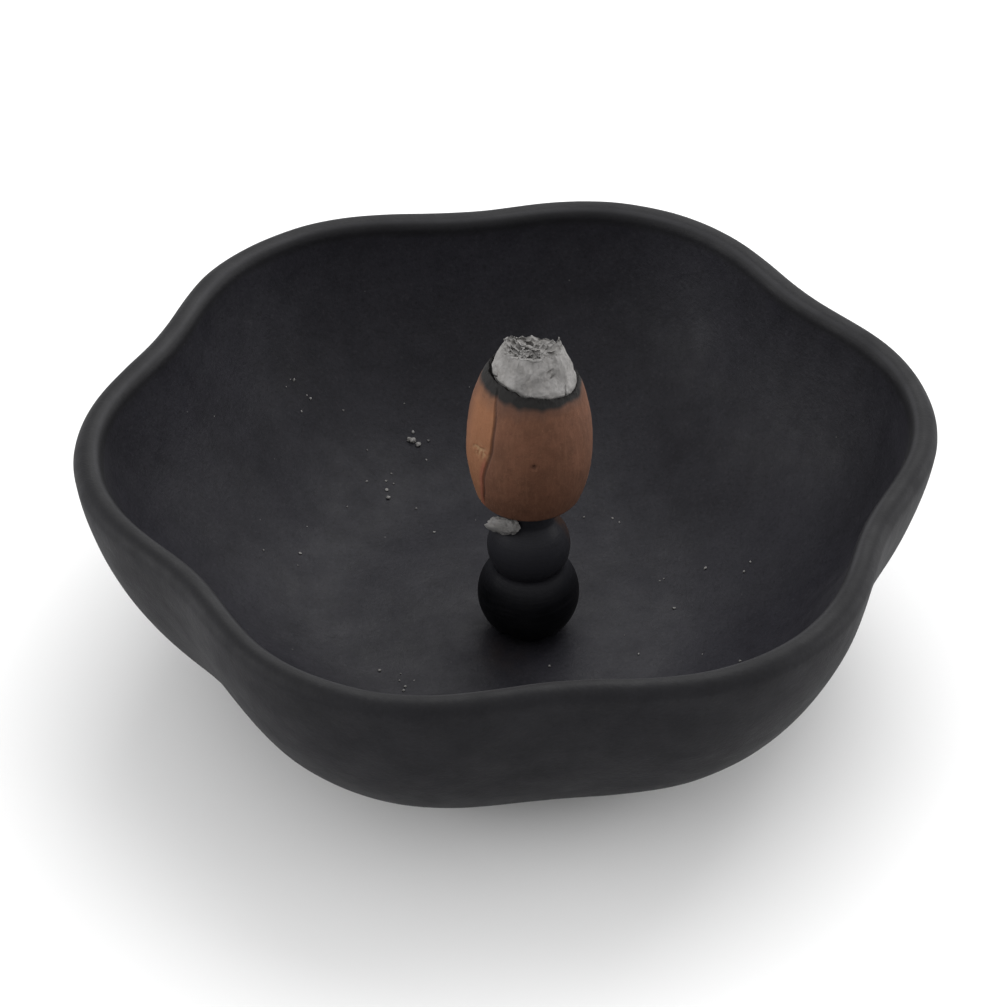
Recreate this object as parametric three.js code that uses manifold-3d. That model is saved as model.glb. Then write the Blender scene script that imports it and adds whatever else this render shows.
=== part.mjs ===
// Backflow incense burner: a six-lobed stoneware bowl with a gourd-shaped smoke post standing in it,
// and a part-burnt incense cone resting on the post. Millimetres, +Z up.
// The origin is the centre of the bowl's foot, on the surface that the burner stands on.
// Lobes point along +X and every 60 degrees round; the -Y side, between two lobes, is the front.

import * as THREE from 'three';
import { mergeVertices } from 'three/addons/utils/BufferGeometryUtils.js';
import Module from 'manifold-3d';

const wasm = await Module();
wasm.setup();

const point = (r, z) => new THREE.Vector2(r, z);

// Bowl
const RIM_RADIUS = 48.2; // mean outer radius at the rim, half way between lobe and valley
const BOWL_HEIGHT = 33;
const LOBES = 6;
const LOBE_HEIGHT = 2; // how far a lobe stands out of the mean radius, and a valley in
const LOBE_BROADNESS = 0.2; // makes the lobes broader than the valleys between them
const LOBE_FADE = 6.5; // height over which the lobes fade out towards the round foot and floor
const LIP_THICKNESS = 3.2; // the lip is a half round of this width
const FOOT_RADIUS = 26.2;
const FOOT_HEIGHT = 1;
const FOOT_RING_WIDTH = 4.7; // flat ring under the foot, round a shallow recess
const FOOT_RECESS = 0.9;
const FLOOR_HEIGHT = 5; // top of the bowl's floor above the table
const FLOOR_RADIUS = 18; // where the floor starts to curve up into the wall

// Smoke post: two balls and a neck, turned in one piece
const POST_OFFSET = 3.6; // the post stands this far off the bowl's middle
const POST_DIRECTION = -56; // degrees from +X, towards the front right lobe
const LOWER_BALL_RADIUS = 6.05;
const LOWER_BALL_HEIGHT = 5.25; // centre above the bowl's floor
const UPPER_BALL_RADIUS = 4.9;
const UPPER_BALL_HEIGHT = 12.5;
const NECK_RADIUS = 3.1;
const POST_HEIGHT = 20.4;
const CHANNEL_RADIUS = 1.35; // smoke channel down the middle of the post
const OUTLET_HEIGHT = 2.6; // arched mouth at the foot of the post
const OUTLET_DIRECTION = -125; // degrees from +X, towards the front left

// Incense cone and its ash
const CONE_BASE_RADIUS = 5.8;
const CONE_WIDEST_RADIUS = 7.35;
const CONE_WIDEST_HEIGHT = 6.4;
const CONE_TOP_RADIUS = 5.2;
const CONE_HEIGHT = 17.3; // unburnt paste, up to the ash
const CONE_CHANNEL_RADIUS = 1.5;
const CONE_CHANNEL_DEPTH = 12.5;
const ASH_SHOULDER_RADIUS = 5;
const ASH_MOUTH_RADIUS = 3.3;
const ASH_HEIGHT = 4.5;
const ASH_HOLLOW_RADIUS = 1.7;
const ASH_HOLLOW_DEPTH = 1.4;

// Bezier controls of the curved walls, as (radius, height), in the order that each section runs
const OUTER_WALL_CONTROLS = [point(37, 4.4), point(46.9, 16.2)];
const INNER_WALL_CONTROLS = [point(43.3, 16), point(30.5, FLOOR_HEIGHT)];
const CONE_LOWER_CONTROLS = [point(6.7, 1.8), point(CONE_WIDEST_RADIUS, 3.9)];
const CONE_UPPER_CONTROLS = [point(CONE_WIDEST_RADIUS, 10.6), point(6.6, 14.2)];
const ASH_CONTROLS = [point(5.3, 1.2), point(4.3, 2.8)];

const BOWL_SEGMENTS = 96;
const POST_SEGMENTS = 48;
const CONE_SEGMENTS = 40;
const CHANNEL_SEGMENTS = 24;
const WALL_STEPS = 12; // along a section's curve, one number for each kind of curve
const LIP_STEPS = 6;
const LOWER_BALL_STEPS = 12;
const UPPER_BALL_STEPS = 9;
const CONE_LOWER_STEPS = 6;
const CONE_UPPER_STEPS = 8;
const ASH_STEPS = 6;
const ARCH_STEPS = 10;
const CUT_MARGIN = 1; // how far a cutting form stands out of the clay that it cuts

// Points of a Bezier curve in the section plane, without its first one.
function bezier(from, controlA, controlB, to, steps) {
  return new THREE.CubicBezierCurve(from, controlA, controlB, to).getPoints(steps).slice(1);
}

// Points of a circle in the section plane, angles in radians from the +r direction.
function arc(r, z, radius, fromAngle, toAngle, steps) {
  const curve = new THREE.EllipseCurve(r, z, radius, radius, fromAngle, toAngle, toAngle < fromAngle);
  return curve.getPoints(steps);
}

// Turns a section (radius, height) about the Z axis.
function turned(section, segments) {
  return new THREE.LatheGeometry(section, segments).rotateX(Math.PI / 2);
}

function solidFrom(geometry) {
  const bare = geometry.clone();
  bare.deleteAttribute('normal');
  bare.deleteAttribute('uv');
  const merged = mergeVertices(bare);
  const index = merged.index.array;
  const triangles = [];
  for (let i = 0; i < index.length; i += 3) {
    const [a, b, c] = [index[i], index[i + 1], index[i + 2]];
    if (a !== b && b !== c && c !== a) {
      triangles.push(a, b, c);
    }
  }
  const mesh = new wasm.Mesh({
    numProp: 3,
    vertProperties: merged.attributes.position.array,
    triVerts: new Uint32Array(triangles),
  });
  return new wasm.Manifold(mesh);
}

function geometryFrom(solid) {
  const mesh = solid.getMesh();
  const geometry = new THREE.BufferGeometry();
  geometry.setAttribute('position', new THREE.BufferAttribute(mesh.vertProperties, 3));
  geometry.setIndex(new THREE.BufferAttribute(mesh.triVerts, 1));
  geometry.computeVertexNormals();
  return geometry;
}

// How far the rim's outline stands out of its mean circle at an angle.
function lobe(angle) {
  return LOBE_HEIGHT * Math.cos(LOBES * angle) - LOBE_BROADNESS * Math.cos(2 * LOBES * angle);
}

// The share of the lobes' full size at a height above the foot or the floor.
function lobeShare(heightAbove) {
  return 1 - Math.exp(-Math.max(heightAbove, 0) / LOBE_FADE);
}

function bowlGeometry() {
  const lipRadius = LIP_THICKNESS / 2;
  const lipCentre = RIM_RADIUS - lipRadius;
  const lipHeight = BOWL_HEIGHT - lipRadius;
  const innerRim = RIM_RADIUS - LIP_THICKNESS;
  const recessRadius = FOOT_RADIUS - FOOT_RING_WIDTH;
  const outerRim = point(RIM_RADIUS, lipHeight);
  const foot = point(FOOT_RADIUS, FOOT_HEIGHT);
  const floorEdge = point(FLOOR_RADIUS, FLOOR_HEIGHT);
  const outside = [
    point(0, FOOT_RECESS),
    point(recessRadius - FOOT_RECESS, FOOT_RECESS),
    point(recessRadius, 0),
    point(FOOT_RADIUS, 0),
    foot,
    ...bezier(foot, ...OUTER_WALL_CONTROLS, outerRim, WALL_STEPS),
    ...arc(lipCentre, lipHeight, lipRadius, 0, Math.PI, LIP_STEPS).slice(1),
  ];
  const inside = [
    ...bezier(point(innerRim, lipHeight), ...INNER_WALL_CONTROLS, floorEdge, WALL_STEPS),
    point(0, FLOOR_HEIGHT),
  ];
  const shares = [
    ...outside.map((p) => lobeShare(p.y - FOOT_HEIGHT)),
    ...inside.map((p) => lobeShare(p.y - FLOOR_HEIGHT)),
  ];
  const section = [...outside, ...inside];
  const geometry = turned(section, BOWL_SEGMENTS);
  const position = geometry.attributes.position;
  for (let i = 0; i < position.count; i += 1) {
    const x = position.getX(i);
    const y = position.getY(i);
    const radius = Math.hypot(x, y);
    const grown = radius + shares[i % section.length] * lobe(Math.atan2(y, x));
    const stretch = radius > 0 ? grown / radius : 1;
    position.setXY(i, x * stretch, y * stretch);
  }
  geometry.computeVertexNormals();
  return geometry;
}

// Lower ball, upper ball and neck; the flat at the foot is where the lower ball is cut by the floor.
function postBlank() {
  const footAngle = -Math.asin(LOWER_BALL_HEIGHT / LOWER_BALL_RADIUS);
  const gap = UPPER_BALL_HEIGHT - LOWER_BALL_HEIGHT;
  const waistRise = (gap ** 2 + LOWER_BALL_RADIUS ** 2 - UPPER_BALL_RADIUS ** 2) / (2 * gap);
  const waistLower = Math.asin(waistRise / LOWER_BALL_RADIUS);
  const waistUpper = Math.asin((waistRise - gap) / UPPER_BALL_RADIUS);
  const neckAngle = Math.acos(NECK_RADIUS / UPPER_BALL_RADIUS);
  const lowerBall = arc(0, LOWER_BALL_HEIGHT, LOWER_BALL_RADIUS, footAngle, waistLower, LOWER_BALL_STEPS);
  const upperBall = arc(0, UPPER_BALL_HEIGHT, UPPER_BALL_RADIUS, waistUpper, neckAngle, UPPER_BALL_STEPS);
  lowerBall[0].y = 0;
  const section = [
    point(0, 0),
    ...lowerBall,
    ...upperBall.slice(1),
    point(NECK_RADIUS, POST_HEIGHT),
    point(0, POST_HEIGHT),
  ];
  return turned(section, POST_SEGMENTS);
}

// The smoke channel, right through the post from its top to its foot.
function channelCut() {
  const length = POST_HEIGHT + 2 * CUT_MARGIN;
  const geometry = new THREE.CylinderGeometry(CHANNEL_RADIUS, CHANNEL_RADIUS, length, CHANNEL_SEGMENTS);
  return geometry.rotateX(Math.PI / 2).translate(0, 0, length / 2 - CUT_MARGIN);
}

// The arched mouth, from the channel out through the side of the lower ball.
function outletCut() {
  const reach = LOWER_BALL_RADIUS + 2 * CUT_MARGIN;
  const springing = OUTLET_HEIGHT - CHANNEL_RADIUS;
  const arch = new THREE.Shape();
  arch.moveTo(-CHANNEL_RADIUS, -CUT_MARGIN);
  arch.lineTo(CHANNEL_RADIUS, -CUT_MARGIN);
  arch.lineTo(CHANNEL_RADIUS, springing);
  arch.absarc(0, springing, CHANNEL_RADIUS, 0, Math.PI, false);
  arch.closePath();
  const settings = { depth: reach, bevelEnabled: false, curveSegments: ARCH_STEPS };
  const geometry = new THREE.ExtrudeGeometry(arch, settings);
  geometry.rotateX(Math.PI / 2);
  return geometry.rotateZ(THREE.MathUtils.degToRad(OUTLET_DIRECTION + 90));
}

function postGeometry() {
  const blank = solidFrom(postBlank());
  const bored = blank.subtract(solidFrom(channelCut()));
  return geometryFrom(bored.subtract(solidFrom(outletCut())));
}

// A barrel of pressed paste with a blind channel up from its base.
function coneGeometry() {
  const base = point(CONE_BASE_RADIUS, 0);
  const widest = point(CONE_WIDEST_RADIUS, CONE_WIDEST_HEIGHT);
  const section = [
    point(0, CONE_CHANNEL_DEPTH),
    point(CONE_CHANNEL_RADIUS, CONE_CHANNEL_DEPTH - CONE_CHANNEL_RADIUS),
    point(CONE_CHANNEL_RADIUS, 0),
    base,
    ...bezier(base, ...CONE_LOWER_CONTROLS, widest, CONE_LOWER_STEPS),
    ...bezier(widest, ...CONE_UPPER_CONTROLS, point(CONE_TOP_RADIUS, CONE_HEIGHT), CONE_UPPER_STEPS),
    point(0, CONE_HEIGHT),
  ];
  return turned(section, CONE_SEGMENTS);
}

// A crumbling shell of ash with a dished, open top.
function ashGeometry() {
  const shoulder = point(ASH_SHOULDER_RADIUS, 0);
  const mouth = point(ASH_MOUTH_RADIUS, ASH_HEIGHT);
  const section = [
    point(0, 0),
    shoulder,
    ...bezier(shoulder, ...ASH_CONTROLS, mouth, ASH_STEPS),
    point(ASH_HOLLOW_RADIUS, ASH_HEIGHT - ASH_HOLLOW_DEPTH),
    point(0, ASH_HEIGHT - ASH_HOLLOW_DEPTH),
  ];
  return turned(section, CONE_SEGMENTS);
}

function piece(name, geometry, colour, roughness) {
  const material = new THREE.MeshStandardMaterial({ color: colour, roughness, metalness: 0 });
  const mesh = new THREE.Mesh(geometry, material);
  mesh.name = name;
  return mesh;
}

const blackStoneware = 0x3b3b3d;
const darkStoneware = 0x2f3033;
const pressedPaste = 0xa5795f;
const paleAsh = 0xd6d4cf;

const burner = new THREE.Group();
const bowl = piece('bowl', bowlGeometry(), blackStoneware, 0.75);
const post = piece('gourd_post', postGeometry(), darkStoneware, 0.65);
const cone = piece('incense_cone', coneGeometry(), pressedPaste, 0.9);
const ash = piece('ash_cap', ashGeometry(), paleAsh, 0.95);

// The post, the cone on it and the ash on the cone share one upright axis.
const postAngle = THREE.MathUtils.degToRad(POST_DIRECTION);
const stack = new THREE.Group();
stack.position.set(POST_OFFSET * Math.cos(postAngle), POST_OFFSET * Math.sin(postAngle), FLOOR_HEIGHT);
cone.position.z = POST_HEIGHT;
ash.position.z = POST_HEIGHT + CONE_HEIGHT;
stack.add(post, cone, ash);
burner.add(bowl, stack);

export default burner;
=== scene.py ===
import math
import random

import bpy
from mathutils import Matrix, Vector, noise
from mathutils.bvhtree import BVHTree


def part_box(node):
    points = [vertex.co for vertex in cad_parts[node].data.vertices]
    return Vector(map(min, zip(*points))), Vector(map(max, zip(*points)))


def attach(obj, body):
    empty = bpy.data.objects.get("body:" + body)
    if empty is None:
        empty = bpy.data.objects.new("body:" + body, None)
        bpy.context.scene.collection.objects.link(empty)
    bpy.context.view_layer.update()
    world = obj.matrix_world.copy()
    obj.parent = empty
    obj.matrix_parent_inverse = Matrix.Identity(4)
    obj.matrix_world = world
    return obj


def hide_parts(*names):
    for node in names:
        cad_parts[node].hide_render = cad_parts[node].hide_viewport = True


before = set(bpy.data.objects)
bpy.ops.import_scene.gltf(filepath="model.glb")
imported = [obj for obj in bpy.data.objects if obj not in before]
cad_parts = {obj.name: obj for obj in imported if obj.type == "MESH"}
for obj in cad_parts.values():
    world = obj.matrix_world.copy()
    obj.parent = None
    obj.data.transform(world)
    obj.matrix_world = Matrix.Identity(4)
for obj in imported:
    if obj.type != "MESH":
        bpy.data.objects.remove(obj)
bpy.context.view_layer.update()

# Lengths in this script are millimetres until a mesh is made, and angles are radians unless named otherwise.
MM = 0.001

# ---------------------------------------------------------------- sizes, from the frame where it gives them

bowl_low, bowl_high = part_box("bowl")
post_low, post_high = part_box("gourd_post")
cone_low, cone_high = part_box("incense_cone")
ash_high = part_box("ash_cap")[1]

BOWL_HEIGHT = bowl_high.z / MM
LOBES = 6
LOBE_HEIGHT = 2.0
LOBE_BROADNESS = 0.2
LOBE_FADE = 6.5
RIM_RADIUS = 48.2
LIP_THICKNESS = 3.2
FOOT_RADIUS = 26.2
FOOT_HEIGHT = 1.0
FOOT_RING_WIDTH = 4.7
FOOT_RECESS = 0.9
FLOOR_RADIUS = 18.0
FLOOR_HEIGHT = post_low.z / MM

POST_X = (post_low.x + post_high.x) / 2 / MM
POST_Y = (post_low.y + post_high.y) / 2 / MM
POST_HEIGHT = (post_high.z - post_low.z) / MM
LOWER_BALL_RADIUS = 6.05
LOWER_BALL_HEIGHT = 5.25
UPPER_BALL_RADIUS = 4.9
UPPER_BALL_HEIGHT = 12.5
NECK_RADIUS = 3.1
NECK_WAIST = 0.22  # how much thinner the neck is below its flare
NECK_FLARE = 2.5  # length of the flare at the top
CHANNEL_RADIUS = 1.35
OUTLET_HEIGHT = 2.6
OUTLET_ANGLE = math.radians(-125)

CONE_BASE = cone_low.z / MM
CONE_WIDEST_RADIUS = (cone_high.x - cone_low.x) / 2 / MM
CONE_WIDEST_HEIGHT = 6.4
CONE_CHANNEL_RADIUS = 1.5
CONE_CHANNEL_DEPTH = 12.5
ASH_TOP = ash_high.z / MM - CONE_BASE

CAMERA_AZIMUTH = math.radians(-7)
CAMERA_ELEVATION = math.radians(39)
CAMERA_DISTANCE = 354.8
CAMERA_AIM = (-0.6, 0.1, 21.3)
CAMERA_LENS = 107.9

# Directions round an upright axis, as the camera sees them.
FACING = CAMERA_AZIMUTH - math.pi / 2
TO_LEFT = FACING - math.pi / 2
TO_RIGHT = FACING + math.pi / 2


# ---------------------------------------------------------------- small tools

def mix_numbers(a, b, share):
    return a + (b - a) * share


def ramp_between(value, low, high):
    """0 at low, 1 at high, and smooth between them; low may be the larger."""
    share = min(max((value - low) / (high - low), 0.0), 1.0)
    return share * share * (3 - 2 * share)


def turn_from(direction, angle):
    """How far angle is turned from direction, from -pi to pi."""
    return (angle - direction + math.pi) % math.tau - math.pi


def smooth_larger(a, b, blend):
    """The larger of two numbers, with the corner between them rounded off."""
    share = max(blend - abs(a - b), 0.0) / blend
    return max(a, b) + share * share * blend / 4


def bezier(start, control_a, control_b, end, steps):
    """Points along a Bezier curve in a section, without its first one."""
    points = []
    for step in range(1, steps + 1):
        t = step / steps
        weights = ((1 - t) ** 3, 3 * t * (1 - t) ** 2, 3 * t * t * (1 - t), t ** 3)
        corners = (start, control_a, control_b, end)
        points.append(tuple(sum(w * c[axis] for w, c in zip(weights, corners)) for axis in (0, 1)))
    return points


def arc(radius, height, size, from_angle, to_angle, steps):
    """Points along a circle in a section, both ends included."""
    turns = [mix_numbers(from_angle, to_angle, step / steps) for step in range(steps + 1)]
    return [(radius + size * math.cos(a), height + size * math.sin(a)) for a in turns]


def line(start, end, steps):
    """Evenly spaced points from start to end, without the first one."""
    shares = [step / steps for step in range(1, steps + 1)]
    return [(mix_numbers(start[0], end[0], s), mix_numbers(start[1], end[1], s)) for s in shares]


def lathe(section, segments, place, closed=False):
    """Points and faces of a turned form. section lists (radius, height), and place(radius, height,
    angle, index) gives where each point goes. A closed section joins its last point to its first."""
    points, rings = [], []
    for index, (radius, height) in enumerate(section):
        first = len(points)
        if radius == 0:
            rings.append([first] * segments)
            points.append(place(0.0, height, 0.0, index))
            continue
        rings.append(list(range(first, first + segments)))
        points.extend(place(radius, height, math.tau * i / segments, index) for i in range(segments))
    faces = []
    for low, high in zip(rings, rings[1:] + (rings[:1] if closed else [])):
        for i in range(segments):
            j = (i + 1) % segments
            faces.append(tuple(dict.fromkeys((low[i], low[j], high[j], high[i]))))
    return points, faces


def piece(name, points, faces, body, slot, material):
    """A smooth-shaded mesh that rides on a body."""
    mesh = bpy.data.meshes.new(name)
    mesh.from_pydata([Vector(p) * MM for p in points], [], faces)
    mesh.shade_smooth()
    obj = bpy.data.objects.new(name, mesh)
    bpy.context.scene.collection.objects.link(obj)
    mesh.materials.append(material)
    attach(obj, body)
    return obj


def paint(obj, name, value):
    """Stores value(point in millimetres) on every vertex, for the material to read."""
    attribute = obj.data.attributes.new(name, "FLOAT", "POINT")
    for vertex, stored in zip(obj.data.vertices, attribute.data):
        stored.value = value(vertex.co / MM)


def paint_rings(obj, section, name, values):
    """Stores one value per point of a turned form's section."""
    attribute = obj.data.attributes.new(name, "FLOAT", "POINT")
    counts = [1 if radius == 0 else BOWL_SEGMENTS for radius, _ in section]
    spread = [value for value, count in zip(values, counts) for _ in range(count)]
    attribute.data.foreach_set("value", spread)


def dent(obj, layers, share=lambda point: 1.0, outward=0.0):
    """Moves the surface in by noise, or partly out. layers lists (size of the lumps, depth, offset)."""
    moves = []
    for vertex in obj.data.vertices:
        point = vertex.co / MM
        depth = 0.0
        for size, deepest, shift in layers:
            lumps = (1 - noise.noise(point / size + Vector((shift, 0, 0)))) / 2
            depth += deepest * (lumps - outward)
        moves.append(vertex.normal * (-depth * share(point) * MM))
    for vertex, move in zip(obj.data.vertices, moves):
        vertex.co += move


def fit_inside(obj, low, high):
    """Shrinks a mesh slightly along X, Y or Z where it is larger than its CAD node's box."""
    for axis in range(3):
        reach = max(max(abs(vertex.co[axis]) for vertex in obj.data.vertices), 1e-9)
        limit = min(abs(low[axis]), abs(high[axis])) or abs(high[axis])
        if reach > limit:
            for vertex in obj.data.vertices:
                vertex.co[axis] *= limit / reach


def cut(obj, points, faces):
    """Cuts a closed form out of obj."""
    mesh = bpy.data.meshes.new("cutter")
    mesh.from_pydata([Vector(p) * MM for p in points], [], faces)
    cutter = bpy.data.objects.new("cutter", mesh)
    bpy.context.scene.collection.objects.link(cutter)
    modifier = obj.modifiers.new("cut", "BOOLEAN")
    modifier.operation = "DIFFERENCE"
    modifier.solver = "EXACT"
    modifier.object = cutter
    graph = bpy.context.evaluated_depsgraph_get()
    result = bpy.data.meshes.new_from_object(obj.evaluated_get(graph))
    obj.modifiers.remove(modifier)
    obj.data = result
    bpy.data.objects.remove(cutter)


# ---------------------------------------------------------------- materials

class Shader:
    """One procedural material, built node by node. Sizes are in millimetres."""

    def __init__(self, name, roughness, specular=0.5):
        self.material = bpy.data.materials.new(name)
        self.material.use_nodes = True
        self.nodes = self.material.node_tree.nodes
        self.links = self.material.node_tree.links
        self.surface = self.nodes["Principled BSDF"]
        self.surface.inputs["Roughness"].default_value = roughness
        self.surface.inputs["Specular IOR Level"].default_value = specular
        self.place = self.nodes.new("ShaderNodeTexCoord").outputs["Object"]

    def put(self, socket, value):
        if isinstance(value, bpy.types.NodeSocket):
            self.links.new(value, socket)
        else:
            socket.default_value = value

    def noise(self, size, detail=3.0, roughness=0.5, stretch=(1, 1, 1), distortion=0.0):
        """Noise from 0 to 1 with lumps of that size; stretch makes them longer along an axis."""
        mapping = self.nodes.new("ShaderNodeMapping")
        mapping.inputs["Scale"].default_value = [1 / (size * MM * s) for s in stretch]
        self.links.new(self.place, mapping.inputs["Vector"])
        texture = self.nodes.new("ShaderNodeTexNoise")
        texture.inputs["Scale"].default_value = 1.0
        texture.inputs["Detail"].default_value = detail
        texture.inputs["Roughness"].default_value = roughness
        texture.inputs["Distortion"].default_value = distortion
        self.links.new(mapping.outputs["Vector"], texture.inputs["Vector"])
        return texture.outputs["Fac"]

    def specks(self, spacing, radius, kept):
        """1 inside small round specks, 0 between them. kept is the share of the cells that has one."""
        mapping = self.nodes.new("ShaderNodeMapping")
        mapping.inputs["Scale"].default_value = [1 / (spacing * MM)] * 3
        self.links.new(self.place, mapping.inputs["Vector"])
        cells = self.nodes.new("ShaderNodeTexVoronoi")
        cells.inputs["Scale"].default_value = 1.0
        self.links.new(mapping.outputs["Vector"], cells.inputs["Vector"])
        near = self.between(cells.outputs["Distance"], radius / spacing, radius / spacing * 0.5)
        split = self.nodes.new("ShaderNodeSeparateColor")
        self.links.new(cells.outputs["Color"], split.inputs["Color"])
        chosen = self.between(split.outputs["Red"], 1 - kept, 1 - kept + 0.01)
        return self.math("MULTIPLY", near, chosen)

    def painted(self, name):
        """A number that paint() stored on the mesh."""
        attribute = self.nodes.new("ShaderNodeAttribute")
        attribute.attribute_name = name
        return attribute.outputs["Fac"]

    def math(self, operation, a, b):
        node = self.nodes.new("ShaderNodeMath")
        node.operation = operation
        self.put(node.inputs[0], a)
        self.put(node.inputs[1], b)
        return node.outputs[0]

    def between(self, value, low, high, out_low=0.0, out_high=1.0):
        """Turns low..high into out_low..out_high, and holds the ends."""
        node = self.nodes.new("ShaderNodeMapRange")
        node.inputs["From Min"].default_value = low
        node.inputs["From Max"].default_value = high
        node.inputs["To Min"].default_value = out_low
        node.inputs["To Max"].default_value = out_high
        self.links.new(value, node.inputs["Value"])
        return node.outputs["Result"]

    def mix(self, share, a, b):
        node = self.nodes.new("ShaderNodeMix")
        node.data_type = "RGBA"
        self.put(node.inputs["Factor"], share)
        self.put(node.inputs["A"], a if isinstance(a, bpy.types.NodeSocket) else (*a, 1))
        self.put(node.inputs["B"], b if isinstance(b, bpy.types.NodeSocket) else (*b, 1))
        return node.outputs["Result"]

    def bump(self, height, depth, below=None):
        """A relief of that depth on top of the one below."""
        node = self.nodes.new("ShaderNodeBump")
        node.inputs["Distance"].default_value = depth * MM
        self.links.new(height, node.inputs["Height"])
        if below is not None:
            self.links.new(below, node.inputs["Normal"])
        return node.outputs["Normal"]

    def finish(self, colour, roughness, normal):
        self.put(self.surface.inputs["Base Color"], colour)
        self.put(self.surface.inputs["Roughness"], roughness)
        self.put(self.surface.inputs["Normal"], normal)
        return self.material


def stoneware():
    """Matte black clay: fine grain, soft mottling and pale specks. The outside and the lip are painted darker
    as painted shade. The lip is smoother, with a faint painted highlight along its inner edge.
    """
    shader = Shader("black_stoneware", 0.5, specular=0.16)
    shader.surface.inputs["Sheen Weight"].default_value = 0.02
    shader.surface.inputs["Sheen Roughness"].default_value = 0.3
    clouds = shader.between(shader.noise(16, detail=4, roughness=0.55), 0.32, 0.68)
    patches = shader.between(shader.noise(3.2, detail=5, roughness=0.65), 0.35, 0.7)
    grain = shader.noise(0.45, detail=3, roughness=0.6)
    colour = shader.mix(clouds, (0.0093, 0.009, 0.0118), (0.0142, 0.0138, 0.0182))
    colour = shader.mix(shader.math("MULTIPLY", patches, 0.35), colour, (0.027, 0.0262, 0.032))
    colour = shader.mix(shader.between(grain, 0.56, 0.74, 0, 0.35), colour, (0.034, 0.0333, 0.0375))
    colour = shader.mix(shader.between(grain, 0.46, 0.3, 0, 0.5), colour, (0.005, 0.005, 0.0057))
    # painted shade: the outside of the bowl is painted darker than the inside
    outside = shader.between(shader.painted("inside"), 0, 1, 0.6, 0)
    colour = shader.mix(outside, colour, (0.002, 0.002, 0.0023))
    # painted shade: the lip is painted darker, against the light its top catches
    colour = shader.mix(shader.math("MULTIPLY", shader.painted("lip"), 0.6), colour, (0.005, 0.005, 0.0057))
    # painted highlight: a thin light line along the lip's inner edge, broken up by noise
    highlight_breaks = shader.between(shader.noise(6, 3), 0.25, 0.6, 0.5, 1)
    edge = shader.math("MULTIPLY", shader.painted("edge"), highlight_breaks)
    colour = shader.mix(shader.math("MULTIPLY", edge, 0.3), colour, (0.075, 0.075, 0.08))
    dust = shader.math("MULTIPLY", shader.specks(2.6, 0.13, 0.3), shader.painted("inside"))
    colour = shader.mix(shader.math("MULTIPLY", dust, 0.4), colour, (0.16, 0.157, 0.153))
    stain = shader.math("MULTIPLY", shader.painted("stain"), shader.between(shader.noise(1.6, 4), 0.3, 0.6))
    colour = shader.mix(shader.math("MULTIPLY", stain, 0.35), colour, (0.02, 0.013, 0.009))
    roughness = shader.between(shader.noise(5, detail=4, roughness=0.6), 0.3, 0.7, 0.44, 0.6)
    worn = shader.between(shader.painted("lip"), 0, 1, 0, 0.22)
    roughness = shader.math("SUBTRACT", roughness, worn)
    roughness = shader.math("ADD", roughness, shader.between(shader.painted("inside"), 0, 1, 0.2, 0))
    normal = shader.bump(patches, 0.03)
    normal = shader.bump(grain, 0.035, normal)
    normal = shader.bump(shader.noise(0.16, detail=2), 0.012, normal)
    return shader.finish(colour, roughness, normal)


def post_stoneware():
    """Darker and smoother clay with turning marks, painted light that makes the upper ball lighter than the
    lower, and a ground, stained top.
    """
    shader = Shader("dark_stoneware", 0.45, specular=0.09)
    marks = shader.noise(0.28, detail=3, roughness=0.6, stretch=(14, 14, 1))
    grain = shader.noise(0.35, detail=3)
    clouds = shader.between(shader.noise(3.5, detail=4), 0.35, 0.65)
    colour = shader.mix(clouds, (0.003, 0.0032, 0.004), (0.006, 0.006, 0.0072))
    # painted light: the upper ball is painted lighter than the lower ball, which sits in shade
    upper = shader.math("MULTIPLY", shader.painted("upper"), 0.85)
    colour = shader.mix(upper, colour, (0.0245, 0.0245, 0.029))
    colour = shader.mix(shader.between(marks, 0.5, 0.72, 0, 0.5), colour, (0.014, 0.014, 0.0155))
    stain = shader.math("MULTIPLY", shader.painted("stain"), shader.between(shader.noise(1.4, 4), 0.25, 0.6))
    colour = shader.mix(stain, colour, (0.05, 0.024, 0.013))
    ground = shader.mix(shader.between(grain, 0.3, 0.7), (0.038, 0.037, 0.0375), (0.076, 0.074, 0.075))
    tint = shader.math("MULTIPLY", shader.painted("tint"), shader.between(shader.noise(1.2, 3), 0.3, 0.6))
    ground = shader.mix(shader.math("MULTIPLY", tint, 0.6), ground, (0.075, 0.05, 0.046))
    # painted highlight on the chamfer round the channel's mouth
    ground = shader.mix(shader.math("MULTIPLY", shader.painted("chamfer_highlight"), 0.7), ground, (0.13, 0.128, 0.13))
    colour = shader.mix(shader.painted("ground"), colour, ground)
    soot = shader.math("MULTIPLY", shader.painted("soot"), shader.between(shader.noise(0.8, 3), 0.2, 0.5))
    colour = shader.mix(soot, colour, (0.006, 0.005, 0.0045))
    roughness = shader.between(clouds, 0, 1, 0.38, 0.52)
    normal = shader.bump(marks, 0.03)
    normal = shader.bump(grain, 0.02, normal)
    return shader.finish(colour, roughness, normal)


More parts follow.
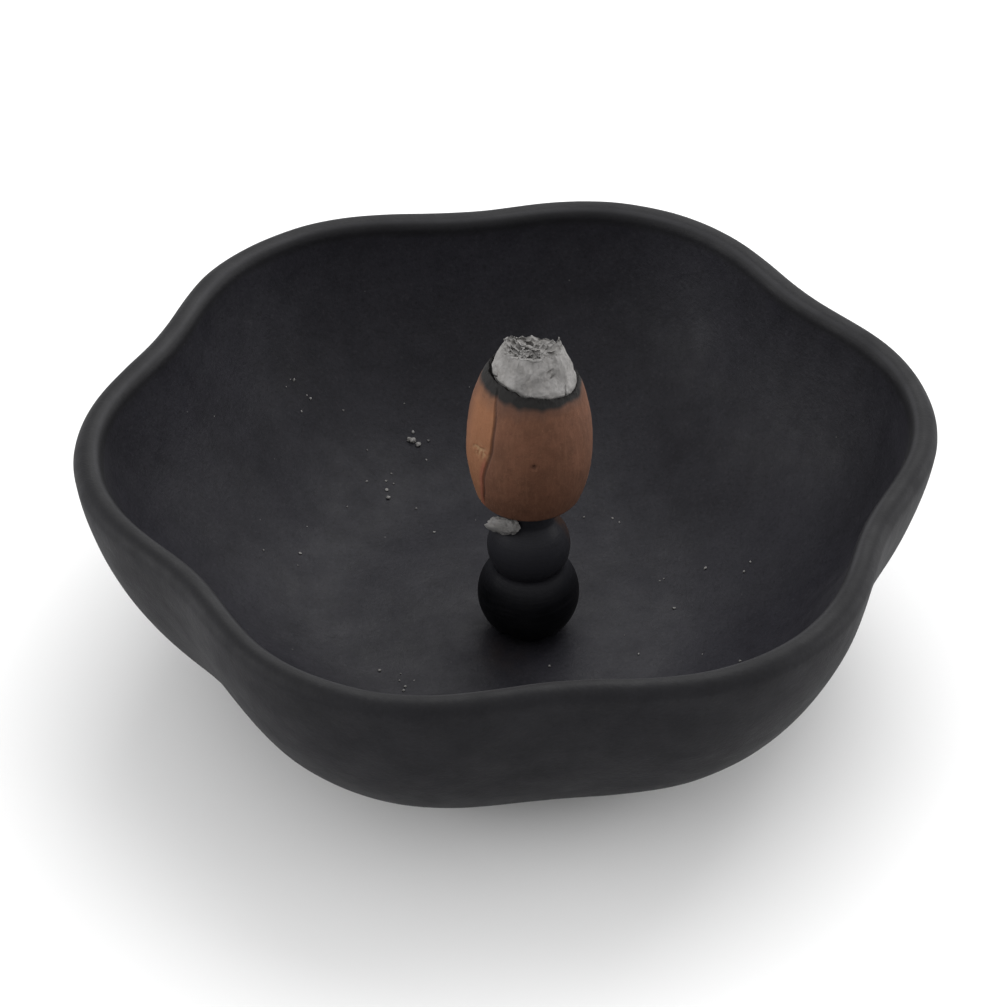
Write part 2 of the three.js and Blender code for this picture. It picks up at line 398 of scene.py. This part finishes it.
def pressed_paste():
    """Brown pressed powder: an orange strip beside the mould seam, and charred black under the ash."""
    shader = Shader("pressed_incense", 0.85, specular=0.3)
    grain = shader.noise(0.3, detail=4, roughness=0.7)
    clouds = shader.between(shader.noise(2.6, detail=4, roughness=0.6), 0.32, 0.68)
    drawn = shader.noise(0.5, detail=3, roughness=0.6, stretch=(1, 1, 8))
    colour = shader.mix(clouds, (0.087, 0.037, 0.020), (0.123, 0.052, 0.029))
    colour = shader.mix(shader.between(drawn, 0.45, 0.7, 0, 0.4), colour, (0.151, 0.069, 0.039))
    strip = shader.math("MULTIPLY", shader.painted("strip"), 0.75)
    colour = shader.mix(strip, colour, (0.219, 0.094, 0.043))
    colour = shader.mix(shader.between(grain, 0.58, 0.75, 0, 0.45), colour, (0.193, 0.099, 0.059))
    colour = shader.mix(shader.between(grain, 0.42, 0.28, 0, 0.45), colour, (0.050, 0.022, 0.013))
    colour = shader.mix(shader.math("MULTIPLY", shader.painted("red"), 0.7), colour, (0.175, 0.046, 0.029))
    colour = shader.mix(shader.math("MULTIPLY", shader.painted("chip"), 0.8), colour, (0.280, 0.181, 0.098))
    colour = shader.mix(shader.math("MULTIPLY", shader.painted("seam"), 0.75), colour, (0.030, 0.012, 0.008))
    wander = shader.between(shader.noise(1.2, 3), 0.3, 0.7, -0.07, 0.07)
    ragged = shader.math("ADD", shader.painted("burn"), wander)
    scorched = shader.between(ragged, -2.3, -0.9)
    charred = shader.between(ragged, -1.3, -0.85)
    colour = shader.mix(shader.math("MULTIPLY", scorched, 0.65), colour, (0.045, 0.026, 0.02))
    colour = shader.mix(charred, colour, (0.008, 0.0074, 0.0072))
    normal = shader.bump(drawn, 0.03)
    normal = shader.bump(grain, 0.05, normal)
    return shader.finish(colour, 0.85, normal)


def burnt_ash():
    """Pale grey crumbling ash, with painted shade in its cracks and hollows."""
    shader = Shader("incense_ash", 0.95, specular=0.2)
    lumps = shader.between(shader.noise(0.9, detail=5, roughness=0.7), 0.3, 0.7)
    grain = shader.noise(0.16, detail=3, roughness=0.7)
    clouds = shader.between(shader.noise(2.2, detail=3), 0.35, 0.65)
    colour = shader.mix(clouds, (0.172, 0.167, 0.162), (0.262, 0.255, 0.249))
    colour = shader.mix(shader.between(lumps, 0.0, 0.5, 0.35, 0), colour, (0.24, 0.225, 0.21))
    colour = shader.mix(shader.between(grain, 0.45, 0.3, 0, 0.45), colour, (0.2, 0.19, 0.18))
    # painted shade in the cracks, pits and broken mouth
    colour = shader.mix(shader.painted("hollow_painted_shade"), colour, (0.09, 0.084, 0.078))
    normal = shader.bump(lumps, 0.08)
    normal = shader.bump(grain, 0.05, normal)
    return shader.finish(colour, 0.95, normal)


def floor_paint():
    shader = Shader("studio_floor", 0.7, specular=0.2)
    tone = shader.between(shader.noise(400, detail=2), 0.3, 0.7)
    colour = shader.mix(tone, (0.80, 0.80, 0.80), (0.82, 0.82, 0.82))
    return shader.finish(colour, 0.7, shader.bump(shader.noise(2, detail=2), 0.01))


# ---------------------------------------------------------------- bowl

def lobe(angle):
    return LOBE_HEIGHT * math.cos(LOBES * angle) - LOBE_BROADNESS * math.cos(2 * LOBES * angle)


def lobe_share(height):
    """The lobes fade out towards the round foot and the round floor."""
    return 1 - math.exp(-max(height, 0.0) / LOBE_FADE)


# How the hand-shaped outline strays from even lobes: waves round the bowl, their size, and where one peaks.
UNEVENNESS = ((2, 0.25, math.radians(-63)), (3, 0.17, math.radians(35)), (4, 0.08, math.radians(-20)))


def handmade(angle):
    return sum(size * math.cos(waves * (angle - peak)) for waves, size, peak in UNEVENNESS)


LIP_STEPS = 18
BOWL_SEGMENTS = 432


def bowl_section():
    """Returns the section, and for each of its points the height that the lobes fade by."""
    lip = LIP_THICKNESS / 2
    lip_centre = RIM_RADIUS - lip
    lip_height = BOWL_HEIGHT - lip
    recess = FOOT_RADIUS - FOOT_RING_WIDTH
    rounding = 0.3
    outside = [(0.0, FOOT_RECESS)]
    outside += line((0.0, FOOT_RECESS), (recess - FOOT_RECESS, FOOT_RECESS), 10)
    outside += line((recess - FOOT_RECESS, FOOT_RECESS), (recess - rounding, rounding / 2), 4)
    outside += line((recess - rounding, rounding / 2), (recess + rounding, 0.0), 2)
    outside += line((recess + rounding, 0.0), (FOOT_RADIUS - rounding, 0.0), 6)
    outside += arc(FOOT_RADIUS - rounding, rounding, rounding, -math.pi / 2, 0, 4)[1:]
    outside += line(outside[-1], (FOOT_RADIUS, FOOT_HEIGHT), 3)
    outside += bezier((FOOT_RADIUS, FOOT_HEIGHT), (37, 4.4), (46.9, 16.2), (RIM_RADIUS, lip_height), 56)
    outside += arc(lip_centre, lip_height, lip, 0, math.pi, LIP_STEPS)[1:]
    inner_rim = RIM_RADIUS - LIP_THICKNESS
    floor_edge = (FLOOR_RADIUS, FLOOR_HEIGHT)
    inside = bezier((inner_rim, lip_height), (43.3, 16), (30.5, FLOOR_HEIGHT), floor_edge, 64)
    inside += line(floor_edge, (0.0, FLOOR_HEIGHT), 20)
    heights = [z - FOOT_HEIGHT for _, z in outside] + [z - FLOOR_HEIGHT for _, z in inside]
    return outside + inside, heights


def clear_of_post(point):
    """0 under and beside the post, 1 away from it."""
    away = math.hypot(point.x - POST_X, point.y - POST_Y)
    return ramp_between(away, LOWER_BALL_RADIUS, LOWER_BALL_RADIUS + 3)


def make_bowl(material):
    section, heights = bowl_section()

    def place(radius, height, angle, index):
        share = lobe_share(heights[index])
        grown = radius + share * (lobe(angle) + handmade(angle)) if radius else 0.0
        return grown * math.cos(angle), grown * math.sin(angle), height

    points, faces = lathe(section, BOWL_SEGMENTS, place)
    bowl = piece("bowl_shell", points, faces, "burner", "black_stoneware", material)
    foot_stays_flat = lambda p: ramp_between(p.z, 0.3, 4.0) * clear_of_post(p)
    dent(bowl, [(13, 0.30, 3.0), (5.5, 0.10, 40.0)], foot_stays_flat, outward=0.5)
    fit_inside(bowl, bowl_low, bowl_high)

    lip_starts = next(i for i, (_, z) in enumerate(section) if z >= BOWL_HEIGHT - LIP_THICKNESS / 2 - 0.01)
    lip_ends = lip_starts + LIP_STEPS
    on_lip = [(index - lip_starts) / LIP_STEPS for index in range(len(section))]
    paint_rings(bowl, section, "lip", [math.exp(-((share - 0.6) / 0.4) ** 2) for share in on_lip])
    # edge holds a painted highlight along the lip's inner edge
    paint_rings(bowl, section, "edge", [math.exp(-((share - 0.69) / 0.07) ** 2) for share in on_lip])
    paint_rings(bowl, section, "inside", [float(index > lip_ends) for index in range(len(section))])
    outlet = Vector((POST_X, POST_Y, FLOOR_HEIGHT))
    outlet += Vector((math.cos(OUTLET_ANGLE), math.sin(OUTLET_ANGLE), 0)) * (LOWER_BALL_RADIUS + 0.5)
    paint(bowl, "stain", lambda p: math.exp(-((p - outlet).length / 3.0) ** 2))
    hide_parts("bowl")
    return bowl


# ---------------------------------------------------------------- smoke post

def post_radius(height):
    """The post's outline: two balls and a neck that flares a little, each running into the next."""
    lower = math.sqrt(max(LOWER_BALL_RADIUS ** 2 - (height - LOWER_BALL_HEIGHT) ** 2, 0.0))
    upper = math.sqrt(max(UPPER_BALL_RADIUS ** 2 - (height - UPPER_BALL_HEIGHT) ** 2, 0.0))
    flare = ramp_between(height, POST_HEIGHT - NECK_FLARE, POST_HEIGHT)
    neck = mix_numbers(NECK_RADIUS - NECK_WAIST, NECK_RADIUS, flare) if height > UPPER_BALL_HEIGHT else 0.0
    balls = smooth_larger(lower, upper, 0.5)
    return smooth_larger(balls, neck, 0.7)


def post_section():
    top, edge, bevel = POST_HEIGHT, 0.22, 0.18
    rise = [(top - edge) * step / 90 for step in range(91)]
    section = [(post_radius(z), z) for z in rise]
    section += arc(NECK_RADIUS - edge, top - edge, edge, 0, math.pi / 2, 5)[1:]
    section += line(section[-1], (CHANNEL_RADIUS + bevel, top), 6)
    section += [(CHANNEL_RADIUS + bevel / 3, top - bevel / 3), (CHANNEL_RADIUS, top - bevel)]
    section += line((CHANNEL_RADIUS, top - bevel), (CHANNEL_RADIUS, 0.0), 24)
    return section


def outlet_form():
    """A closed arched bar, from the post's channel out through its side."""
    inner, outer, under = 0.0, LOWER_BALL_RADIUS + 2, 1.0
    half = CHANNEL_RADIUS
    springing = OUTLET_HEIGHT - half
    outline = [(-half, -under), (half, -under)] + arc(0, springing, half, 0, math.pi, 14)
    along = Vector((math.cos(OUTLET_ANGLE), math.sin(OUTLET_ANGLE), 0))
    across = Vector((-along.y, along.x, 0))
    foot = Vector((POST_X, POST_Y, FLOOR_HEIGHT))
    up = Vector((0, 0, 1))
    points = [foot + along * reach + across * u + up * v for reach in (inner, outer) for u, v in outline]
    count = len(outline)
    sides = [(i, (i + 1) % count, (i + 1) % count + count, i + count) for i in range(count)]
    return points, sides + [tuple(reversed(range(count))), tuple(range(count, 2 * count))]


def make_post(material):
    def place(radius, height, angle, index):
        return POST_X + radius * math.cos(angle), POST_Y + radius * math.sin(angle), FLOOR_HEIGHT + height

    points, faces = lathe(post_section(), 144, place, closed=True)
    post = piece("gourd_smoke_post", points, faces, "burner", "dark_stoneware", material)
    cut(post, *outlet_form())
    post.data.set_sharp_from_angle(angle=math.radians(38))
    top = FLOOR_HEIGHT + POST_HEIGHT
    away = lambda p: math.hypot(p.x - POST_X, p.y - POST_Y)
    turn = lambda p, angle: math.cos(math.atan2(p.y - POST_Y, p.x - POST_X) - angle)
    middle = FLOOR_HEIGHT + (LOWER_BALL_HEIGHT + UPPER_BALL_HEIGHT) / 2
    # upper: painted light, lighter towards the upper ball
    paint(post, "upper", lambda p: ramp_between(p.z, middle - 2, middle + 2))
    paint(post, "ground", lambda p: ramp_between(p.z, top - 0.16, top - 0.03))
    # a painted highlight on the chamfer round the channel
    paint(post, "chamfer_highlight", lambda p: ramp_between(away(p), CHANNEL_RADIUS + 0.35, CHANNEL_RADIUS + 0.1))
    paint(post, "tint", lambda p: ramp_between(turn(p, TO_RIGHT + 0.5), -0.2, 0.9))
    paint(post, "soot", lambda p: ramp_between(away(p), CHANNEL_RADIUS + 0.12, CHANNEL_RADIUS + 0.02))
    on_right = lambda p: ramp_between(turn(p, TO_RIGHT + 0.4), 0.75, 1.0)
    paint(post, "stain", lambda p: on_right(p) * ramp_between(p.z, top - 9, top - 4))
    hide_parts("gourd_post")
    return post


# ---------------------------------------------------------------- incense cone

BURN_HEIGHT = 17.2
BURN_TILT = 0.95  # higher on the left
CHAR_WIDTH = 1.25


def leftward(angle):
    return math.cos(angle - TO_LEFT)


def forward(angle):
    return math.cos(angle - FACING)


def round_about(angle):
    """A place on a unit circle, for noise that has to close on itself."""
    return Vector((math.cos(angle), math.sin(angle), 0.0))


def burn_line(angle):
    """Height above the cone's base where the charred paste ends: highest on the left, ragged all round."""
    where = round_about(angle)
    ragged = 0.3 * noise.noise(where * 2.3 + Vector((7, 0, 0)))
    ragged += 0.16 * noise.noise(where * 7 + Vector((0, 9, 0)))
    return BURN_HEIGHT + BURN_TILT * leftward(angle) + 0.15 * forward(angle) + ragged


def char_width(angle):
    """How far the char reaches down from the burn line."""
    ragged = 0.3 * noise.noise(round_about(angle) * 4 + Vector((2, 2, 2)))
    return CHAR_WIDTH + 0.45 * leftward(angle) + ragged


# How the barrel narrows away from its widest height: a factor and a power of the distance.
TAPER_ABOVE = (0.0054, 2.5)
TAPER_BELOW = (0.0471, 1.79)


def cone_radius(height):
    """The pressed barrel's outline."""
    factor, power = TAPER_ABOVE if height > CONE_WIDEST_HEIGHT else TAPER_BELOW
    return CONE_WIDEST_RADIUS - factor * abs(height - CONE_WIDEST_HEIGHT) ** power


# The seam's rightmost point: its height, and its direction in degrees to the left of the front.
SEAM_HEIGHT = 11.6
SEAM_DEGREES = 37.5


def seam_offset(angle, height):
    """Distance round the cone from its mould seam, which turns to the left above and below its
    rightmost point and wanders a little."""
    above = height - SEAM_HEIGHT
    bow = 0.26 * above ** 2 if above > 0 else -1.6 * above * ramp_between(above, 0, -5)
    seam_angle = FACING - math.radians(SEAM_DEGREES + bow)
    wander = 0.2 * noise.noise(Vector((0, 5, height / 2.5)))
    return turn_from(seam_angle, angle) * CONE_WIDEST_RADIUS + wander


def spot(angle, height, place):
    """1 in the middle of a spot on the cone, 0 away from it. place is its direction from the front in
    degrees, how high it lies, half its width and half its height."""
    degrees, middle, half_width, half_height = place
    turn = turn_from(FACING + math.radians(degrees), angle)
    across = turn * CONE_WIDEST_RADIUS / half_width
    up = (height - middle) / half_height
    return math.exp(-across ** 2 - up ** 2)


PIT = (4, 9.05, 0.26, 0.3)
CHIPS = (-54, 9.2, 1.4, 0.75)
CONE_EDGE = 0.8  # height of the rounded edge at the foot
SHELF_HEIGHT = 15.8  # the middle of the burnt top, hidden in the ash
SEAM_WIDTH = 0.2
SEAM_DEPTH = 0.26
STRIP_DEPTH = 0.1  # the paste just left of the seam lies lower
PIT_DEPTH = 0.3
CHIP_DEPTH = 0.18


def chipped(angle, height):
    """1 on the small broken grains beside the seam."""
    where = Vector((math.cos(angle), math.sin(angle), height / CONE_WIDEST_RADIUS)) * CONE_WIDEST_RADIUS
    grains = noise.noise(where * 2.2 + Vector((3, 3, 3)))
    return spot(angle, height, CHIPS) * ramp_between(grains, -0.02, 0.16)


def make_cone(material):
    channel_top = CONE_CHANNEL_DEPTH - CONE_CHANNEL_RADIUS
    lean = math.atan((cone_radius(CONE_EDGE + 0.1) - cone_radius(CONE_EDGE)) / 0.1)
    rounding = CONE_EDGE / (1 - math.sin(lean))
    edge_radius = cone_radius(CONE_EDGE) - rounding * math.cos(lean)
    section = [(0.0, CONE_CHANNEL_DEPTH)]
    section += line(section[-1], (CONE_CHANNEL_RADIUS, channel_top), 4)
    section += line(section[-1], (CONE_CHANNEL_RADIUS, 0.0), 20)
    section += line(section[-1], (edge_radius, 0.0), 14)
    section += arc(edge_radius, rounding, rounding, -math.pi / 2, -lean, 7)[1:]
    wall_starts = len(section)
    wall_steps = 120
    section += [(cone_radius(CONE_EDGE), step / wall_steps) for step in range(1, wall_steps + 1)]
    shelf_starts = len(section)
    shelf_steps = 30
    section += [(1 - step / shelf_steps, 0.0) for step in range(1, shelf_steps + 1)]

    def place(radius, height, angle, index):
        end = burn_line(angle)
        if index >= shelf_starts:
            inward = radius
            radius = (cone_radius(end) - 0.3) * inward
            height = mix_numbers(SHELF_HEIGHT, end - 0.15, inward ** 5)
        elif index >= wall_starts:
            height = mix_numbers(CONE_EDGE, end, height)
            radius = cone_radius(height)
            off = seam_offset(angle, height)
            shallow_ends = ramp_between(height, 0.6, 2.0) * ramp_between(end - height, 0.3, 1.2)
            radius -= SEAM_DEPTH * math.exp(-(off / SEAM_WIDTH) ** 2) * shallow_ends
            beside_seam = ramp_between(off, 0.0, -0.7) * ramp_between(off, -3.4, -2.2)
            radius -= STRIP_DEPTH * beside_seam * shallow_ends
            radius -= PIT_DEPTH * spot(angle, height, PIT) + CHIP_DEPTH * chipped(angle, height)
            crumbly = ramp_between(height, end - 1.2, end)
            where = Vector((radius * math.cos(angle), radius * math.sin(angle), height))
            radius -= crumbly * (0.12 + 0.16 * noise.noise(where * 1.6) + 0.1 * noise.noise(where * 4))
        return POST_X + radius * math.cos(angle), POST_Y + radius * math.sin(angle), CONE_BASE + height

    points, faces = lathe(section, 360, place)
    cone = piece("incense_cone_paste", points, faces, "cone", "pressed_incense", material)
    flat_base = lambda p: ramp_between(p.z, CONE_BASE + 0.1, CONE_BASE + 0.8)
    dent(cone, [(4.0, 0.14, 11.0), (1.1, 0.07, 25.0), (0.45, 0.035, 50.0)], flat_base)

    def paint_round(name, value):
        paint(cone, name, lambda p: value(math.atan2(p.y - POST_Y, p.x - POST_X), p.z - CONE_BASE))

    def strip(angle, height):
        off = seam_offset(angle, height)
        return ramp_between(off, 0.0, -0.4) * ramp_between(off, -7.5, -3.5)

    def seam(angle, height):
        return math.exp(-(seam_offset(angle, height) / SEAM_WIDTH) ** 2) * ramp_between(height, 0.5, 2.0)

    def red(angle, height):
        beside = math.exp(-((seam_offset(angle, height) + 0.5) / 0.35) ** 2)
        return beside * ramp_between(height, 9.5, 7.2)

    paint_round("burn", lambda angle, height: (height - burn_line(angle)) / char_width(angle))
    paint_round("strip", strip)
    paint_round("red", red)
    paint_round("chip", chipped)
    paint_round("seam", lambda angle, height: max(seam(angle, height), spot(angle, height, PIT)))
    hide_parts("incense_cone")
    return cone


# ---------------------------------------------------------------- ash

ASH_FOOT_RADIUS = 4.95
ASH_TAPER = 1.5  # how much smaller its mouth is
ASH_BULGE = 0.15
ASH_DISH = 2.2  # depth of the rubble in the mouth below the highest point
ASH_SUNK = 0.75  # how far its foot goes down behind the burn line


def ash_radius(share):
    """The ash's outline from its foot, at 0, up to its broken mouth, at 1."""
    bulge = ASH_BULGE * math.sin(min(share * 3, 1) * math.pi)
    return ASH_FOOT_RADIUS + bulge - ASH_TAPER * share ** 1.8


# Spikes on the mouth's edge: direction, height and half their width in radians.
ASH_SPIKES = ((TO_LEFT - 0.35, 0.5, 0.16), (TO_LEFT - 0.8, 1.0, 0.45), (TO_RIGHT + 0.45, 0.85, 0.16))


def ash_rim(angle):
    """Height of the broken mouth's edge: high in front, low behind, with spikes at the sides."""
    jags = 0.3 * noise.noise(round_about(angle) * 2.6 + Vector((3, 1, 0)))
    jags += 0.26 * noise.noise(round_about(angle) * 7.5 + Vector((5, 5, 0)))
    spikes = 0.0
    for direction, size, width in ASH_SPIKES:
        spikes += size * math.exp(-(turn_from(direction, angle) / width) ** 2)
    return min(ASH_TOP - 1.15 + 1.0 * forward(angle) + jags + spikes, ASH_TOP - 0.05)


def make_ash(material):
    rows, dish_rows = 60, 40
    section = [(0.0, 0.0)] + [(ash_radius(0) * step / 8, 0.0) for step in range(1, 9)]
    wall_starts = len(section)
    section += [(ash_radius(step / rows), step / rows) for step in range(1, rows + 1)]
    dish_starts = len(section)
    section += [(ash_radius(1) * step / dish_rows, 1.0) for step in range(dish_rows - 1, 0, -1)]
    section.append((0.0, 1.0))

    def place(radius, height, angle, index):
        foot = burn_line(angle) - ASH_SUNK
        if index < wall_starts:
            height = foot
        elif index < dish_starts:
            height = mix_numbers(foot, ash_rim(angle), height)
        else:
            inward = radius / ash_radius(1)
            where = round_about(angle) * radius
            rubble = 0.4 * noise.noise(where * 0.9 + Vector((0, 0, 4))) + 0.35 * noise.noise(where * 2.8)
            bottom = ASH_TOP - ASH_DISH + rubble
            height = mix_numbers(bottom, ash_rim(angle), ramp_between(inward, 0.62, 0.98))
        radius *= 1 - 0.1 * leftward(angle)
        return POST_X + radius * math.cos(angle), POST_Y + radius * math.sin(angle), CONE_BASE + height

    points, faces = lathe(section, 300, place)
    ash = piece("ash_cap_crumbling", points, faces, "cone", "incense_ash", material)
    crumble(ash)
    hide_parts("ash_cap")
    return ash


def crack_depth(point):
    """1 on the line of a crack, 0 away from it. Cracks come and go."""
    wander = noise.noise(point / 2.8 + Vector((13, 2, 0)))
    present = ramp_between(noise.noise(point / 2.2 + Vector((0, 17, 3))), 0.0, 0.18)
    return math.exp(-(wander / 0.03) ** 2) * present


MOUTH_LOW, MOUTH_HIGH = 3.3, 2.3  # below the ash's top, where the rougher mouth starts and is full


def crumble(ash):
    """Facets, pits and cracks in the ash, all pressed inwards, with painted shade stored for the cracks and
    pits. The broken mouth is the roughest part.
    """
    hollow_painted_shade = ash.data.attributes.new("hollow_painted_shade", "FLOAT", "POINT")
    moves = []
    for vertex, stored in zip(ash.data.vertices, hollow_painted_shade.data):
        point = vertex.co / MM
        away = math.hypot(point.x - POST_X, point.y - POST_Y)
        mouth = ramp_between(ash_radius(1) - away, -0.3, 0.3)
        mouth *= ramp_between(point.z - CONE_BASE, ASH_TOP - MOUTH_LOW, ASH_TOP - MOUTH_HIGH)
        lumps = 0.42 * (1 - noise.noise(point / 1.9)) / 2 + 0.14 * (1 - noise.noise(point / 0.8)) / 2
        pits = max(noise.noise(point / 0.42 + Vector((0, 31, 0))), 0.0)
        crack = crack_depth(point)
        moves.append(vertex.normal * (-(lumps + (0.1 + 0.28 * mouth) * pits + 0.3 * crack) * MM))
        # painted shade: darker in the cracks and pits, more so in the broken mouth
        stored.value = min(0.8 * crack + (0.22 + 0.13 * mouth) * pits, 1.0)
    for vertex, move in zip(ash.data.vertices, moves):
        vertex.co += move


def crumb_form(centre, sizes, turn, seed, rings=10, segments=16, lumpiness=1.0):
    """Points and faces of one irregular crumb."""
    shift = Vector((seed * 3.7, seed * 1.3, seed * 0.7))

    def place(radius, height, angle, index):
        ball = Vector((radius * math.cos(angle), radius * math.sin(angle), height))
        lumps = 0.45 * noise.noise(ball * 1.7 + shift) + 0.2 * noise.noise(ball * 4.1 + shift)
        lumpy = 1 + lumpiness * lumps
        flat = Vector((ball.x * sizes[0], ball.y * sizes[1], ball.z * sizes[2])) * lumpy
        return centre + turn @ flat

    section = [(0.0, -1.0)] + arc(0, 0, 1, -math.pi / 2, math.pi / 2, rings)[1:-1] + [(0.0, 1.0)]
    return lathe(section, segments, place)


def joined(forms):
    """Several (points, faces) as one."""
    points, faces = [], []
    for more_points, more_faces in forms:
        first = len(points)
        points.extend(more_points)
        faces.extend(tuple(first + i for i in face) for face in more_faces)
    return points, faces


FLAKE_HEIGHT = -3.43  # from the cone's base
FLAKE_REACH = 3.6  # from the post's axis
FLAKE_SHIFT = 1.3  # sideways, along the neck
FLAKE_LEAN = math.radians(20)  # its outer end lies lower
FLAKE_LUMPINESS = 0.6


def make_flake(material):
    """A flake of ash that lies on the post's upper ball against its neck, on the left of the front."""
    round_neck = TO_LEFT - math.radians(35)
    along, outward = round_about(round_neck), round_about(round_neck + math.pi / 2)
    centre = Vector((POST_X, POST_Y, CONE_BASE + FLAKE_HEIGHT)) + outward * FLAKE_REACH + along * FLAKE_SHIFT
    lean = Matrix.Rotation(round_neck, 3, "Z") @ Matrix.Rotation(FLAKE_LEAN, 3, "Y")
    inner_end = centre - lean @ Vector((1.5, 0, 0))
    forms = [
        crumb_form(centre, (2.15, 0.8, 1.05), lean, 3, rings=28, segments=48, lumpiness=FLAKE_LUMPINESS),
        crumb_form(inner_end, (1.0, 0.7, 0.9), lean, 8, rings=20, segments=30, lumpiness=FLAKE_LUMPINESS),
    ]
    flake = piece("ash_flake", *joined(forms), "burner", "incense_ash", material)
    # painted shade in the flake's cracks
    paint(flake, "hollow_painted_shade", lambda p: 0.5 * crack_depth(p))
    return flake


# Where fallen crumbs gather: direction round the bowl in degrees, distance from its middle, spread,
# how many, and how many times the usual size.
CRUMB_PATCHES = (
    (105, 30.4, 2.0, 6, 2.0),
    (117, 26.5, 4.0, 9, 1.4),
    (126, 39.5, 5.0, 8, 1.0),
    (158, 31.0, 6.0, 4, 1.0),
    (-142, 17.5, 3.5, 6, 1.2),
    (2, 29.5, 1.0, 2, 1.6),
    (6, 21.0, 5.0, 4, 1.0),
    (45, 21.0, 5.0, 4, 1.0),
    (-60, 20.0, 14.0, 9, 0.8),
    (90, 22.0, 16.0, 14, 0.8),
)
CRUMB_SIZES = (0.09, 0.11, 0.13, 0.16, 0.2)
CRUMBS_REACH = 42  # none lies further out


def make_crumbs(bowl, material):
    """Crumbs of ash lying on the inside of the bowl."""
    draw = random.Random(11)
    mesh = bowl.data
    corners = [vertex.co.copy() for vertex in mesh.vertices]
    surface = BVHTree.FromPolygons(corners, [tuple(face.vertices) for face in mesh.polygons])
    forms = []
    for degrees, distance, spread, count, larger in CRUMB_PATCHES:
        for _ in range(count):
            x = distance * math.cos(math.radians(degrees)) + draw.gauss(0, spread / 2)
            y = distance * math.sin(math.radians(degrees)) + draw.gauss(0, spread / 2)
            size = draw.choice(CRUMB_SIZES) * larger
            beside_post = math.hypot(x - POST_X, y - POST_Y) < LOWER_BALL_RADIUS + 1
            if math.hypot(x, y) > CRUMBS_REACH or beside_post:
                continue
            hit, normal, _, _ = surface.ray_cast(Vector((x, y, BOWL_HEIGHT + 5)) * MM, Vector((0, 0, -1)))
            sizes = (size, size * draw.uniform(0.6, 1.0), size * draw.uniform(0.45, 0.8))
            turn = normal.to_track_quat("Z", "X").to_matrix()
            turn = turn @ Matrix.Rotation(draw.uniform(0, math.tau), 3, "Z")
            centre = hit / MM + normal * sizes[2] * 0.75
            forms.append(crumb_form(centre, sizes, turn, draw.uniform(0, 50), rings=6, segments=9))
    crumbs = piece("ash_crumbs", *joined(forms), "burner", "incense_ash", material)
    paint(crumbs, "hollow_painted_shade", lambda p: 0.0)
    return crumbs


# ---------------------------------------------------------------- studio

def direction_from(azimuth, elevation):
    """Towards a place seen from the bowl. Azimuth 0 is the front, and it grows to the right."""
    flat = math.cos(elevation)
    return Vector((math.sin(azimuth) * flat, -math.cos(azimuth) * flat, math.sin(elevation)))


def make_camera():
    data = bpy.data.cameras.new("camera")
    camera = bpy.data.objects.new("camera", data)
    bpy.context.scene.collection.objects.link(camera)
    back = direction_from(CAMERA_AZIMUTH, CAMERA_ELEVATION)
    aim = Vector(CAMERA_AIM) * MM
    camera.location = aim + back * CAMERA_DISTANCE * MM
    camera.rotation_mode = "QUATERNION"
    camera.rotation_quaternion = (-back).to_track_quat("-Z", "Y")
    data.lens = CAMERA_LENS
    data.clip_start, data.clip_end = 0.01, 50
    bpy.context.scene.camera = camera


def soft_light(name, size, power, azimuth, elevation, distance):
    """A square soft light aimed at the bowl, placed by direction in degrees and distance in metres."""
    data = bpy.data.lights.new(name, "AREA")
    data.size, data.energy = size, power
    light = bpy.data.objects.new(name, data)
    bpy.context.scene.collection.objects.link(light)
    back = direction_from(math.radians(azimuth), math.radians(elevation))
    light.location = back * distance
    light.visible_camera = False
    light.rotation_mode = "QUATERNION"
    light.rotation_quaternion = (-back).to_track_quat("-Z", "Y")


def make_studio():
    world = bpy.data.worlds.new("studio")
    world.use_nodes = True
    background = world.node_tree.nodes["Background"]
    background.inputs["Color"].default_value = (1.0, 1.0, 1.0, 1.0)
    background.inputs["Strength"].default_value = 1.0
    bpy.context.scene.world = world
    soft_light("overhead", 0.7, 4.3, azimuth=150, elevation=57, distance=0.8)
    soft_light("left_fill", 0.6, 7.2, azimuth=-92, elevation=7, distance=0.9)
    soft_light("right_fill", 0.6, 5.2, azimuth=95, elevation=7, distance=0.9)
    half = 6.0
    corners = [(-half, -half, 0), (half, -half, 0), (half, half, 0), (-half, half, 0)]
    mesh = bpy.data.meshes.new("floor")
    mesh.from_pydata(corners, [], [(0, 1, 2, 3)])
    mesh.materials.append(floor_paint())
    floor = bpy.data.objects.new("floor", mesh)
    bpy.context.scene.collection.objects.link(floor)
    bpy.context.scene.view_settings.view_transform = "Standard"


make_camera()
make_studio()
clay = stoneware()
ash_finish = burnt_ash()
bowl_piece = make_bowl(clay)
make_post(post_stoneware())
make_cone(pressed_paste())
make_ash(ash_finish)
make_flake(ash_finish)
make_crumbs(bowl_piece, ash_finish)
